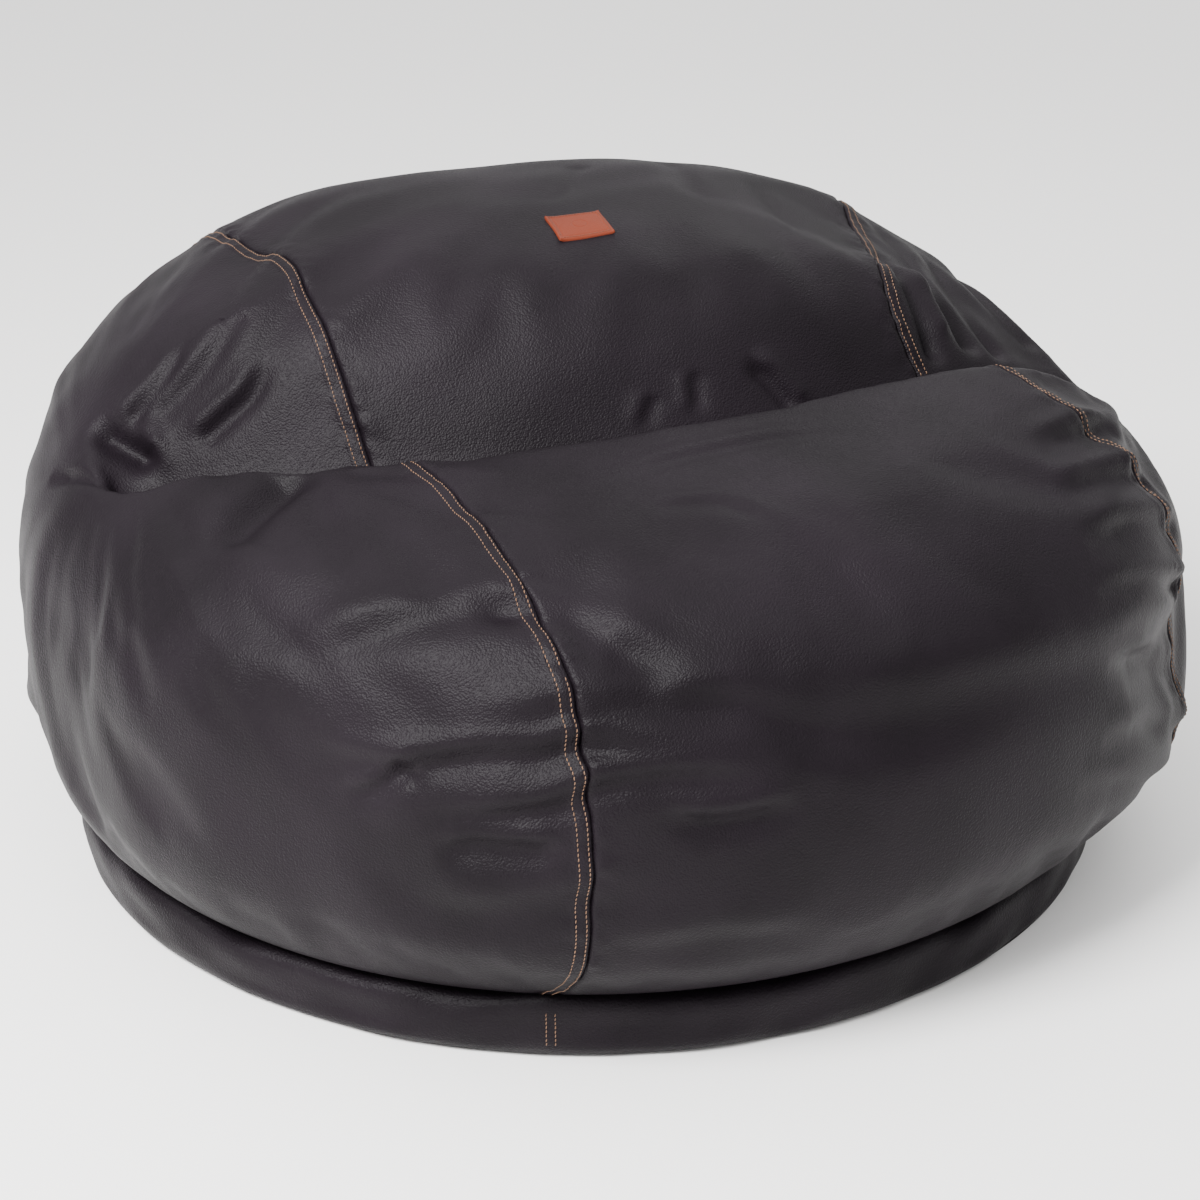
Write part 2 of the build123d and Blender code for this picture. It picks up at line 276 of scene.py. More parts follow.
# Each fold: kind, width, depth, how full it is at its two ends, and its line over the skin.
# A step is plump above its line and tucked in below it; a valley is pressed in along its line.
FOLDS = [
    ("step", .014, .0055, (0, 1), [
        (-.365, -.410, .370), (-.315, -.425, .395), (-.265, -.435, .410), (-.190, -.450, .425),
    ]),
    ("step", .014, .0045, (1, 0), [
        (-.190, -.450, .425), (-.130, -.485, .420), (-.100, -.510, .410), (-.060, -.535, .390),
    ]),
    ("step", .014, .0048, (0, 0), [
        (-.270, -.500, .335), (-.230, -.515, .340), (-.165, -.535, .360), (-.120, -.545, .365),
        (-.065, -.550, .370), (-.015, -.555, .370), (.045, -.560, .355),
    ]),
    ("step", .026, .0060, (0, 1), [
        (-.065, -.550, .365), (.045, -.560, .355), (.115, -.555, .345), (.205, -.530, .345),
        (.340, -.465, .325), (.475, -.335, .285),
    ]),
    ("step", .010, .0065, (0, 0), [
        (-.360, -.455, .300), (-.315, -.485, .300), (-.260, -.515, .310), (-.230, -.525, .320),
        (-.180, -.545, .320), (-.145, -.550, .335), (-.105, -.565, .325), (-.070, -.570, .320),
    ]),
    ("step", .008, .0054, (0, 0), [
        (-.335, -.475, .270), (-.310, -.490, .280), (-.290, -.500, .300), (-.270, -.515, .285),
    ]),
    ("step", .010, .0074, (0, 0), [
        (-.275, -.515, .260), (-.235, -.535, .270), (-.200, -.545, .275), (-.175, -.555, .280),
        (-.140, -.560, .300), (-.090, -.570, .305), (-.015, -.580, .300),
    ]),
    ("step", .010, .0061, (0, 1), [
        (-.270, -.520, .235), (-.235, -.535, .245), (-.190, -.555, .245),
    ]),
    ("step", .015, .0045, (0, 0), [
        (-.300, -.510, .180), (-.225, -.540, .190), (-.155, -.565, .205), (-.090, -.575, .210),
    ]),
    ("step", .010, .0061, (0, 0), [
        (-.095, -.575, .275), (-.060, -.580, .265), (-.030, -.580, .265), (.025, -.580, .270),
    ]),
    ("step", .016, .0040, (0, 0), [
        (-.140, -.565, .150), (-.050, -.575, .160), (.060, -.575, .150),
    ]),
    ("valley", .022, .021, (1, 0), [
        (-.335, -.205, .460), (-.365, -.235, .450), (-.390, -.260, .435), (-.420, -.285, .415),
    ]),
    ("valley", .008, .009, (0, .5), [
        (-.545, -.005, .395), (-.520, -.050, .410), (-.500, -.085, .420),
    ]),
    ("valley", .013, .020, (1, 1), [
        (-.490, -.020, .440), (-.460, -.050, .425),
    ]),
    ("ridge", .010, .011, (.4, .4), [
        (-.450, -.045, .445), (-.440, -.080, .425),
    ]),
    ("step", .007, .0030, (1, 0), [
        (.050, -.160, .475), (.050, -.145, .500),
    ]),
    ("step", .008, .0061, (1, 0), [
        (.150, -.150, .465), (.130, -.140, .490), (.110, -.135, .505),
    ]),
    ("step", .007, .0025, (1, 0), [
        (.000, -.165, .465), (.010, -.155, .485),
    ]),
    ("step", .010, .0074, (1, 0), [
        (.480, -.335, .320), (.440, -.365, .335), (.390, -.405, .355), (.330, -.450, .370),
    ]),
    ("step", .011, .0050, (1, 0), [
        (.480, -.300, .365), (.395, -.370, .400), (.330, -.420, .410),
    ]),
    ("step", .012, .0055, (1, 0), [
        (.460, -.280, .410), (.390, -.330, .435), (.330, -.370, .440),
    ]),
    ("step", .011, .0045, (1, 0), [
        (.450, -.225, .445), (.385, -.275, .460), (.330, -.310, .465),
    ]),
    ("step", .011, .0050, (1, 0), [
        (.495, -.335, .230), (.420, -.400, .280), (.350, -.460, .310),
    ]),
    ("step", .012, .0050, (1, 0), [
        (.490, -.335, .170), (.410, -.420, .220), (.340, -.475, .245),
    ]),
    ("step", .012, .0040, (1, 0), [
        (.480, -.340, .120), (.380, -.445, .180), (.310, -.495, .210),
    ]),
    ("valley", .011, .013, (0, 1), [
        (.300, .150, .590), (.305, .060, .575), (.305, -.030, .550), (.315, -.070, .515),
        (.320, -.090, .485),
    ]),
    ("valley", .013, .016, (0, 1), [
        (.345, .200, .575), (.350, .060, .555), (.360, -.020, .530), (.370, -.060, .485),
    ]),
    ("valley", .012, .013, (0, 1), [
        (.385, .120, .540), (.390, .060, .530), (.395, -.010, .505), (.410, -.045, .470),
    ]),
    ("valley", .012, .009, (0, 1), [
        (.430, .190, .510), (.435, .080, .500), (.455, .030, .480), (.470, .010, .460),
    ]),
    ("ridge", .010, .006, (0, 1), [
        (.325, .100, .575), (.330, -.010, .555), (.340, -.065, .505),
    ]),
    ("valley", .012, .0035, (.5, 0), [
        (.210, .150, .600), (.210, .045, .595), (.210, -.015, .585),
    ]),
    ("step", .011, .0042, (1, 0), [
        (-.440, -.035, .470), (-.390, -.030, .510), (-.360, -.010, .540), (-.345, .030, .560),
    ]),
    ("step", .009, .0049, (1, 0), [
        (-.465, -.020, .460), (-.430, -.015, .490), (-.400, .000, .515),
    ]),
    ("step", .009, .0054, (1, 0), [
        (-.400, -.070, .455), (-.360, -.070, .485), (-.330, -.050, .515),
    ]),
    ("valley", .013, .0028, (1, 0), [
        (.025, .200, .615), (-.015, .115, .620), (-.045, .065, .615),
    ]),
    ("valley", .014, .0035, (1, 0), [
        (.130, .200, .610), (.125, .090, .610), (.150, .060, .605),
    ]),
    ("step", .008, .0022, (0, 0), [
        (-.080, -.330, .465), (-.005, -.305, .475), (.075, -.295, .480), (.165, -.300, .480),
    ]),
    ("step", .008, .0020, (0, 0), [
        (-.060, -.380, .460), (.010, -.390, .465), (.050, -.430, .455),
    ]),
    ("step", .018, .0050, (0, 0), [
        (-.300, .440, .450), (-.120, .500, .410), (.080, .500, .420), (.250, .460, .440),
    ]),
    ("step", .020, .0060, (0, 0), [
        (-.420, .380, .300), (-.220, .530, .270), (.020, .580, .290), (.240, .530, .260),
        (.400, .400, .300),
    ]),
    ("step", .016, .0050, (0, 0), [
        (-.200, .550, .170), (.000, .580, .180), (.160, .560, .160),
    ]),
    ("step", .018, .0055, (0, 0), [
        (-.560, -.080, .240), (-.570, .080, .270), (-.540, .220, .250), (-.450, .360, .260),
    ]),
    ("step", .018, .0055, (0, 0), [
        (.560, -.050, .250), (.570, .100, .280), (.520, .260, .250), (.450, .360, .270),
    ]),
    ("step", .014, .0045, (0, 0), [
        (.540, -.200, .170), (.580, -.020, .160), (.560, .160, .170),
    ]),
    ("step", .014, .0045, (0, 0), [
        (-.570, -.120, .160), (-.580, .040, .150), (-.550, .180, .170),
    ]),
]
FINE = 0.0135  # folds narrower than this are pressed in after the cloth settles


def fold_depth(points, normals, fine):
    """How far each point moves out (or in) for the sculpted folds."""
    out = np.zeros(len(points))
    for kind, width, depth, ends, path in FOLDS:
        if (width < FINE) != fine:
            continue
        path = lerp_smooth(path, 24, 3)
        mid, reach = path.mean(0), np.ptp(path, axis=0).max() / 1.4 + 4 * width
        near = np.flatnonzero(np.abs(points - mid).max(1) < reach)
        if not len(near):
            continue
        dist, place, spot, way = along(points[near], path)
        fade = np.minimum(1, ends[0] + place * 3.5) * np.minimum(1, ends[1] + (1 - place) * 3.5)
        t = dist / width
        if kind == "step":
            side = np.cross(normals[near], way)
            side *= np.where(side[:, 2:] < 0, -1, 1)
            side /= np.maximum(np.linalg.norm(side, axis=1, keepdims=True), 1e-9)
            s = ((points[near] - spot) * side).sum(1) / width
            rest = np.sqrt(np.maximum(t * t - s * s, 0))
            shape = (s * np.exp(0.5 - s * s / 2) - 0.5 * np.exp(-(s * s))) * np.exp(-((rest / 1.2) ** 2))
            shape[np.abs(s) > 5] = 0
        else:
            shape = np.exp(-t * t) * (1 if kind == "ridge" else -1)
        out[near] += depth * fade * shape
    return out


in_fold = np.abs(across_fold(*points.T))
free = np.clip((points[:, 2] - 0.075) / 0.05, 0, 1)
loose = free * np.clip((in_fold - 0.012) / 0.03, 0.15, 1)
swell = 0.004 * smooth_noise(points, 0.34, 3, 1) + 0.0008 * smooth_noise(points, 0.10, 5, 1)
points = points + normals * (swell * loose + fold_depth(points, normals, False) * free)[:, None]


# ---------------------------------------------------------------- cloth
def cloth_settle(points, faces, pin, frames, growth):
    """The skin as cloth, a little too large for the bag, held off by the fill and filled with air."""
    skin = new_object("sim_skin", points, faces, None)
    group = skin.vertex_groups.new(name="pin")
    for level in np.unique(np.round(pin, 2)):
        if level > 0:
            group.add(np.flatnonzero(np.round(pin, 2) == level).tolist(), float(level), "REPLACE")
    inner_normals = quad_normals(points, faces)
    core = new_object("sim_core", points - 0.012 * inner_normals, faces, None)
    core.modifiers.new("Collision", "COLLISION")
    core.collision.thickness_outer = 0.002
    cloth = skin.modifiers.new("Cloth", "CLOTH")
    s = cloth.settings
    s.quality = 5
    s.mass = 0.25
    s.tension_stiffness = s.compression_stiffness = s.shear_stiffness = 18
    s.bending_stiffness = 6
    s.use_pressure = True
    s.uniform_pressure_force = 3.0
    s.shrink_min = -growth
    s.vertex_group_mass = "pin"
    s.pin_stiffness = 8
    s.effector_weights.gravity = 0.0
    cloth.collision_settings.use_collision = True
    cloth.collision_settings.distance_min = 0.002
    cloth.collision_settings.collision_quality = 2
    scene = bpy.context.scene
    cloth.point_cache.frame_start, cloth.point_cache.frame_end = 1, frames
    for i in range(1, frames + 1):
        scene.frame_set(i)
    got = np.empty(len(points) * 3)
    skin.evaluated_get(bpy.context.evaluated_depsgraph_get()).data.vertices.foreach_get("co", got)
    scene.frame_set(1)
    for o in (skin, core):
        mesh = o.data
        bpy.data.objects.remove(o)
        bpy.data.meshes.remove(mesh)
    return got.reshape(-1, 3)


CLOTH_FRAMES, CLOTH_GROWTH, CLOTH_CAP = 22, 0.03, 0.013
PULL_IN = 0.006  # the settled skin comes back in by this, to the size the CAD gives
pin = np.where(points[:, 2] < 0.08, 1.0, 0.0)
settled = cloth_settle(points, faces, pin, CLOTH_FRAMES, CLOTH_GROWTH)
move = settled - points
size = np.linalg.norm(move, axis=1)
print("cloth moved: mean %.4f max %.4f" % (size.mean(), size.max()))
cap = CLOTH_CAP * loose * (1 - 0.8 * np.clip((-0.26 - points[:, 0]) / 0.15, 0, 1)) + 0.001
move *= (cap * np.tanh(size / cap) / np.maximum(size, 1e-9))[:, None]
points = points + relax(move, edges, degree, 2) - PULL_IN * loose[:, None] * normals


# ---------------------------------------------------------------- one subdivision, then cuts along the seams
def subdivide(points, faces):
    """The mesh with one round of smooth subdivision."""
    obj = new_object("sim_sub", points, faces, None)
    sub = obj.modifiers.new("sub", "SUBSURF")
    sub.levels = sub.render_levels = 1
    bpy.context.view_layer.update()
    mesh = bpy.data.meshes.new_from_object(obj.evaluated_get(bpy.context.evaluated_depsgraph_get()))
    bpy.data.objects.remove(obj)
    return mesh


def seam_distance(xy, seam, side):
    """Distance from the seam in plan, positive on the side panel; far points are only roughly placed."""
    line = lerp_smooth(seam, 400, 90)
    step = np.diff(line, axis=0)
    step = np.vstack([step, step[-1]])
    step /= np.linalg.norm(step, axis=1, keepdims=True)
    out = xy[:, 0] - np.interp(xy[:, 1], line[:, 1], line[:, 0])
    close = np.flatnonzero(np.abs(out) < 0.07)
    for lo in range(0, len(close), 8000):
        here = close[lo:lo + 8000]
        d = xy[here][:, None, :] - line[None]
        i = np.argmin((d * d).sum(2), 1)
        v = d[np.arange(len(here)), i]
        out[here] = step[i, 1] * v[:, 0] - step[i, 0] * v[:, 1]
    return out * side


# Across a seam: place and height of the skin there, in millimetres, positive on the side panel.
SEAM_PROFILE = [
    (-40, 0), (-22, .3), (-15, .7), (-9, 1.0), (-5.5, 1.0), (-3, .5), (-1.4, -.6), (-.6, -1.9), (0, -2.9),
    (.6, -1.8), (1.5, .1), (3.2, .4), (5, .8), (7, .9), (9.2, .8), (11, .4), (12.6, .7), (13.4, .3),
    (15, 0), (20, 0), (30, 0),
]
LEVELS = np.array([place for place, _ in SEAM_PROFILE[1:-1]]) / 1000  # where the skin is cut, in metres
ROWS = (0.0032, 0.011)  # the two rows of topstitching, each along a cut

mesh = subdivide(points, faces)
fine = np.empty(len(mesh.vertices) * 3)
mesh.vertices.foreach_get("co", fine)
fine = fine.reshape(-1, 3)
fine_normals = np.empty(len(mesh.vertices) * 3)
mesh.vertices.foreach_get("normal", fine_normals)
fine_normals = fine_normals.reshape(-1, 3)
fine = fine + fine_normals * fold_depth(fine, fine_normals, True)[:, None]
mesh.vertices.foreach_set("co", fine.ravel())
bm = bmesh.new()
bm.from_mesh(mesh)
bpy.data.meshes.remove(mesh)
home = bm.verts.layers.float_vector.new("home")
for v in bm.verts:
    v[home] = v.co
for key, seam, side in (("left", LEFT_SEAM, -1), ("right", RIGHT_SEAM, 1)):
    co = np.array([v[home][:] for v in bm.verts])
    u = seam_distance(co[:, :2], seam, side)
    for v, value in zip(bm.verts, u.tolist()):
        v.co.x = value
    reach = LEVELS[-1] + 0.008
    near = {f for v, value in zip(bm.verts, u.tolist()) if abs(value) < reach for f in v.link_faces}
    parts = near | {e for f in near for e in f.edges} | {v for f in near for v in f.verts}
    parts = sorted(parts, key=lambda p: (type(p).__name__, p.index))
    for level in LEVELS.tolist():
        cut = dict(dist=0.0001, plane_co=(level, 0, 0), plane_no=(1, 0, 0))
        parts = bmesh.ops.bisect_plane(bm, geom=parts, **cut)["geom"]
    layer = bm.verts.layers.float.new("u_" + key)
    for v in bm.verts:
        v[layer] = v.co.x
        v.co = v[home]
bm.verts.ensure_lookup_table()
big = [f for f in bm.faces if len(f.verts) > 4]
bmesh.ops.triangulate(bm, faces=big)
bm.normal_update()
co = np.array([v.co[:] for v in bm.verts])
no = np.array([v.normal[:] for v in bm.verts])
us = {k: np.array([v[bm.verts.layers.float["u_" + k]] for v in bm.verts]) for k in ("left", "right")}


def seam_profile(u, pos, seed):
    """Height of the skin beside a seam: a pinched join, the centre panel's plump edge and the felled band."""
    mm = u * 1000
    base = np.interp(mm, *zip(*SEAM_PROFILE)) / 1000
    pucker = smooth_noise(pos, 0.022, seed) * np.exp(-((mm / 16) ** 2))
    pucker += 0.8 * smooth_noise(pos, 0.05, seed + 1) * np.exp(-((mm / 28) ** 2))
    return base + 0.0011 * pucker


lift = np.zeros(len(co))
for k, seed in (("left", 21), ("right", 31)):
    weight = np.clip((co[:, 2] - 0.05) / 0.02, 0, 1)
    lift += seam_profile(us[k], co, seed) * weight
co = co + no * lift[:, None]
for v, p in zip(bm.verts, co.tolist()):
    v.co = p
bm.normal_update()


# ---------------------------------------------------------------- materials
def material(name, colour, roughness, **inputs):
    """A plain material, with its nodes, links and shader to build on."""
    mat = bpy.data.materials.new(name)
    mat.use_nodes = True
    shader = mat.node_tree.nodes["Principled BSDF"]
    shader.inputs["Base Color"].default_value = (*colour, 1)
    shader.inputs["Roughness"].default_value = roughness
    for key, value in inputs.items():
        shader.inputs[key.replace("_", " ")].default_value = value
    return mat, mat.node_tree.nodes, mat.node_tree.links, shader


def texture(tree_nodes, kind, **settings):
    """A texture node with these inputs or settings."""
    node = tree_nodes.new(kind)
    for key, value in settings.items():
        if key in node.inputs:
            node.inputs[key].default_value = value
        else:
            setattr(node, key, value)
    return node


def ramp(tree_nodes, links, source, low, high, colour_low, colour_high):
    """Colours a value: one colour below low, the other above high."""
    node = tree_nodes.new("ShaderNodeValToRGB")
    node.color_ramp.elements[0].position, node.color_ramp.elements[1].position = low, high
    node.color_ramp.elements[0].color = (*colour_low, 1)
    node.color_ramp.elements[1].color = (*colour_high, 1)
    links.new(source, node.inputs["Fac"])
    return node.outputs["Color"]


def leather(name, dark, light, roughness, grain, strength, sheen):
    """Pebbled leather: cell-like grain, fine creases, worn colour in patches and uneven gloss."""
    mat, n, links, shader = material(name, dark, roughness, Specular_IOR_Level=sheen)
    place = n.new("ShaderNodeTexCoord").outputs["Object"]
    pebble = texture(n, "ShaderNodeTexVoronoi", feature="SMOOTH_F1", Scale=grain, Smoothness=0.35)
    crease = texture(n, "ShaderNodeTexVoronoi", feature="DISTANCE_TO_EDGE", Scale=grain * 0.45)
    fine = texture(n, "ShaderNodeTexNoise", Scale=grain * 1.6, Detail=3.0)
    patch = texture(n, "ShaderNodeTexNoise", Scale=7.0, Detail=4.0)
    for t in (pebble, crease, fine, patch):
        links.new(place, t.inputs["Vector"])
    links.new(ramp(n, links, patch.outputs["Fac"], 0.35, 0.68, dark, light), shader.inputs["Base Color"])
    gloss = n.new("ShaderNodeMapRange")
    links.new(fine.outputs["Fac"], gloss.inputs["Value"])
    gloss.inputs["To Min"].default_value = roughness - 0.07
    gloss.inputs["To Max"].default_value = roughness + 0.09
    links.new(gloss.outputs["Result"], shader.inputs["Roughness"])
    height = None
    layers = (
        (pebble.outputs["Distance"], 1.0, True),
        (crease.outputs["Distance"], 0.8, False),
        (fine.outputs["Fac"], 0.35, False),
    )
    for source, weight, flip in layers:
        bump = n.new("ShaderNodeBump")
        bump.invert = flip
        bump.inputs["Strength"].default_value = strength * weight
        bump.inputs["Distance"].default_value = 0.0006
        links.new(source, bump.inputs["Height"])
        if height:
            links.new(height, bump.inputs["Normal"])
        height = bump.outputs["Normal"]
    links.new(height, shader.inputs["Normal"])
    return mat


def woven(name, colour, roughness, pitch, strength):
    """Plain woven cloth: crossed wave patterns in the bump and mottled colour."""
    mat, n, links, shader = material(name, colour, roughness)
    place = n.new("ShaderNodeTexCoord").outputs["Object"]
    normal = None
    for direction in ("X", "Y", "Z"):
        wave = texture(n, "ShaderNodeTexWave", bands_direction=direction, Scale=1 / pitch, Distortion=0.6)
        links.new(place, wave.inputs["Vector"])
        bump = n.new("ShaderNodeBump")
        bump.inputs["Strength"].default_value = strength
        bump.inputs["Distance"].default_value = pitch * 0.02
        links.new(wave.outputs["Fac"], bump.inputs["Height"])
        if normal:
            links.new(normal, bump.inputs["Normal"])
        normal = bump.outputs["Normal"]
    mottle = texture(n, "ShaderNodeTexNoise", Scale=60.0, Detail=3.0)
    links.new(place, mottle.inputs["Vector"])
    dim = tuple(c * 0.7 for c in colour)
    links.new(ramp(n, links, mottle.outputs["Fac"], 0.35, 0.7, dim, colour), shader.inputs["Base Color"])
    links.new(normal, shader.inputs["Normal"])
    return mat


def metal(name, colour, roughness):
    """Dark plated metal, scuffed to a lighter colour in places."""
    mat, n, links, shader = material(name, colour, roughness, Metallic=1.0)
    place = n.new("ShaderNodeTexCoord").outputs["Object"]
    scuff = texture(n, "ShaderNodeTexNoise", Scale=900.0, Detail=4.0)
    links.new(place, scuff.inputs["Vector"])
    wear = tuple(min(1, c * 1.5 + 0.04) for c in colour)
    links.new(ramp(n, links, scuff.outputs["Fac"], 0.45, 0.75, colour, wear), shader.inputs["Base Color"])
    bump = n.new("ShaderNodeBump")
    bump.inputs["Strength"].default_value = 0.15
    bump.inputs["Distance"].default_value = 0.0002
    links.new(scuff.outputs["Fac"], bump.inputs["Height"])
    links.new(bump.outputs["Normal"], shader.inputs["Normal"])
    return mat


def nylon(name, colour, roughness):
    """Dark moulded nylon with a fine speckle."""
    mat, n, links, shader = material(name, colour, roughness)
    speckle = texture(n, "ShaderNodeTexNoise", Scale=700.0).outputs["Fac"]
    dark, light = (.012, .012, .013), (.03, .03, .031)
    links.new(ramp(n, links, speckle, .4, .7, dark, light), shader.inputs["Base Color"])
    return mat


BLACK = leather("black_leather", (.0046, .0032, .0045), (.0078, .0055, .0077), 0.47, 560.0, 0.7, 0.08)
TAN = leather("label_leather", (.094, .0130, .0034), (.125, .0195, .0058), 0.55, 900.0, 0.3, 0.2)
THREAD = woven("tan_thread", (.135, .068, .034), 0.7, 0.0006, 0.4)
LABEL_THREAD = woven("label_thread", (.085, .024, .010), 0.7, 0.0006, 0.4)
BASE_CLOTH = woven("base_cloth", (.02, .02, .021), 0.85, 0.0022, 0.6)
TAPE = woven("zip_tape", (.012, .012, .013), 0.8, 0.0009, 0.6)
LINER = woven("liner_cloth", (.62, .60, .56), 0.85, 0.0016, 0.4)
FOAM = leather("foam", (.70, .62, .42), (.78, .74, .58), 0.9, 120.0, 0.9, 0.3)
COIL = nylon("zip_coil", (.015, .015, .016), 0.38)
METAL = metal("zip_metal", (.055, .052, .050), 0.32)

# ---------------------------------------------------------------- panels
left_u = bm.verts.layers.float["u_left"]
right_u = bm.verts.layers.float["u_right"]
index = {v: i for i, v in enumerate(bm.verts)}
final = np.array([v.co[:] for v in bm.verts])
split = {"left": [], "right": [], "centre": []}
for f in bm.faces:
    c = f.calc_center_median()
    if c.z < 0.066 and math.hypot(c.x, c.y) < 0.47:
        continue
    ul = sum(v[left_u] for v in f.verts)
    ur = sum(v[right_u] for v in f.verts)
    where = "left" if ul > 0 and c.x < 0 else "right" if ur > 0 and c.x > 0 else "centre"
    split[where].append([index[v] for v in f.verts])


# ---------------------------------------------------------------- the base roll
ROLL_PROFILE = [  # radius and height, from the nip down to the floor
    (.484, .0600), (.500, .0600), (.514, .0590), (.523, .0570), (.5285, .0535), (.5312, .0480),
    (.532, .0410), (.532, .0360), (.5295, .0358), (.5295, .0202), (.532, .0200), (.532, .0170),
    (.5315, .0120), (.5290, .0060), (.5245, .0020), (.5190, .0004), (.5110, .0003),
]
SLOT_ROW = 8  # the profile's stretch that is open where the zip is
PLAIN_ROWS = {8: (.532, .0330), 9: (.532, .0230)}  # the zip's recess is flat away from the zip


ZIP_MARGIN = 3  # degrees past the zip's ends where the roll is still true


def beyond_zip(rad, fade):
    """0 where the zip runs, rising to 1 over this many degrees beyond it."""
    middle, half = (ZIP_LOW + ZIP_HIGH) / 2, (ZIP_HIGH - ZIP_LOW) / 2 + ZIP_MARGIN
    turn = abs((math.degrees(rad) - middle + 180) % 360 - 180)
    return min(1, max(0, (turn - half) / fade))


def roll_ring(rad, profile):
    """The roll's profile at one angle: uneven and not quite centred, but true where the zip runs."""
    r, z = np.array(profile).T
    around = np.stack([np.full(len(r), math.cos(rad)), np.full(len(r), math.sin(rad)), z * 4], 1) * 0.53
    wobble = smooth_noise(around, 0.16, 41) * beyond_zip(rad, 12)
    shift = ROLL_SHIFT * math.cos(rad - ROLL_SHIFT_WAY) * beyond_zip(rad, 30)
    r = r + 0.0035 * wobble * np.clip(z / .02, 0, 1) + shift
    return r, z + 0.0040 * wobble * np.clip((z - .02) / .03, 0, 1)


def roll_piece(start, end, step=0.35):
    """One panel's stretch of the roll, from angle start to end in degrees."""
    zip_ends = [a for a in (ZIP_LOW, ZIP_HIGH) if start < a < end]
    stops = np.unique(np.round(np.r_[np.arange(start, end, step), end, zip_ends], 4))
    verts, quads = [], []
    rows = len(ROLL_PROFILE)
    for a in stops:
        rad = math.radians(a)
        in_zip = ZIP_LOW < a < ZIP_HIGH
        ring = [p if in_zip else PLAIN_ROWS.get(i, p) for i, p in enumerate(ROLL_PROFILE)]
        for rr, zz in zip(*roll_ring(rad, ring)):
            verts.append((rr * math.cos(rad), rr * math.sin(rad), zz))
    for i in range(len(stops) - 1):
        hole = ZIP_LOW <= stops[i] and stops[i + 1] <= ZIP_HIGH
        for j in range(rows - 1):
            if hole and j == SLOT_ROW:
                continue
            a = i * rows + j
            quads.append((a, a + rows, a + rows + 1, a + 1))
    return np.array(verts), quads


def seam_angle(seam, front):
    """Where the seam meets the roll, in degrees."""
    line = lerp_smooth(seam, 800, 60)
    r = np.hypot(line[:, 0], line[:, 1])
    half = line[:, 1] < 0 if front else line[:, 1] > 0
    i = np.argmin(np.where(half, np.abs(r - ROLL_R), 9))
    return math.degrees(math.atan2(line[i, 1], line[i, 0]))


corner = {
    "left_front": seam_angle(LEFT_SEAM, True), "left_back": seam_angle(LEFT_SEAM, False),
    "right_front": seam_angle(RIGHT_SEAM, True), "right_back": seam_angle(RIGHT_SEAM, False),
}
print("seams meet the roll at", corner)
spans = {
    "right": [(corner["right_front"], corner["right_back"])],
    "left": [(corner["left_back"], corner["left_front"] + 360)],
    "centre": [(corner["right_back"], corner["left_back"]), (corner["left_front"], corner["right_front"])],
}
for where, faces_here in split.items():
    used = sorted({i for f in faces_here for i in f})
    remap = {old: new for new, old in enumerate(used)}
    verts = [final[used]]
    polys = [[remap[i] for i in f] for f in faces_here]
    offset = len(used)
    for start, end in spans[where]:
        rv, rq = roll_piece(start, end)
        polys += [tuple(i + offset for i in q) for q in rq]
        verts.append(rv)
        offset += len(rv)
    obj = new_object("panel_" + where, np.concatenate(verts), polys, BLACK)
    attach(obj, "bag")
    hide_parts("cover_%s_panel" % where)
    print(where, "polys", len(polys))


# ---------------------------------------------------------------- stitches
def row_paths(key, level):
    """The cut line at this distance from the seam, as ordered points with normals."""
    layer = bm.verts.layers.float["u_" + key]
    near = [v for v in bm.verts if abs(v[layer] - level) < 1.3e-4 and v.co.z > 0.062]
    ok = {v for v in near if (v.co.x < 0) == (key == "left")}
    links = {v: [e.other_vert(v) for e in v.link_edges if e.other_vert(v) in ok] for v in ok}
    paths, seen = [], set()
    ends = sorted((v for v in ok if len(links[v]) == 1), key=lambda v: v.index)
    for start in ends:
        if start in seen:
            continue
        walk, here = [], start
        while here and here not in seen:
            seen.add(here)
            walk.append((here.co[:], here.normal[:]))
            here = next((w for w in links[here] if w not in seen), None)
        paths.append(walk)
    return [p for p in paths if len(p) > 12]


def stitch_mesh(paths, pitch, length, radius, seed):
    """Short rounded stitches end to end along the paths, each sunk a little at its ends."""
    r = np.random.default_rng(seed)
    sides, rings = 6, 5
    t = np.linspace(-1, 1, rings)
    girth = np.sqrt(np.maximum(1 - np.abs(t) ** 3.2, 0.02)) * radius
    verts, quads = [], []
    for path in paths:
        p = np.array([a for a, _ in path])
        n = np.array([b for _, b in path])
        run = np.r_[0, np.cumsum(np.linalg.norm(np.diff(p, axis=0), axis=1))]
        stops = np.arange(pitch, run[-1] - pitch, pitch)
        for s in stops:
            s += r.uniform(-.04, .04) * pitch
            span = s + t * length / 2
            mid = np.stack([np.interp(span, run, p[:, i]) for i in range(3)], 1)
            nor = np.array([np.interp(s, run, n[:, i]) for i in range(3)])
            nor /= np.linalg.norm(nor)
            way = mid[-1] - mid[0]
            size = np.linalg.norm(way)
            if size < 1e-5:
                continue
            way /= size
            side = np.cross(way, nor)
            side /= max(np.linalg.norm(side), 1e-9)
            up = np.cross(side, way)
            mid = mid + up * (radius * (0.55 - 0.75 * t**2))[:, None] + side * (0.08 * length * t)[:, None]
            base = len(verts)
            for k in range(rings):
                for q in range(sides):
                    a = 2 * math.pi * q / sides
                    verts.append(mid[k] + girth[k] * (math.cos(a) * side + math.sin(a) * up))
            for k in range(rings - 1):
                for q in range(sides):
                    a, b = base + k * sides + q, base + k * sides + (q + 1) % sides
                    quads.append((a, b, b + sides, a + sides))
            quads.append(tuple(base + q for q in range(sides))[::-1])
            quads.append(tuple(base + (rings - 1) * sides + q for q in range(sides)))
    return verts, quads


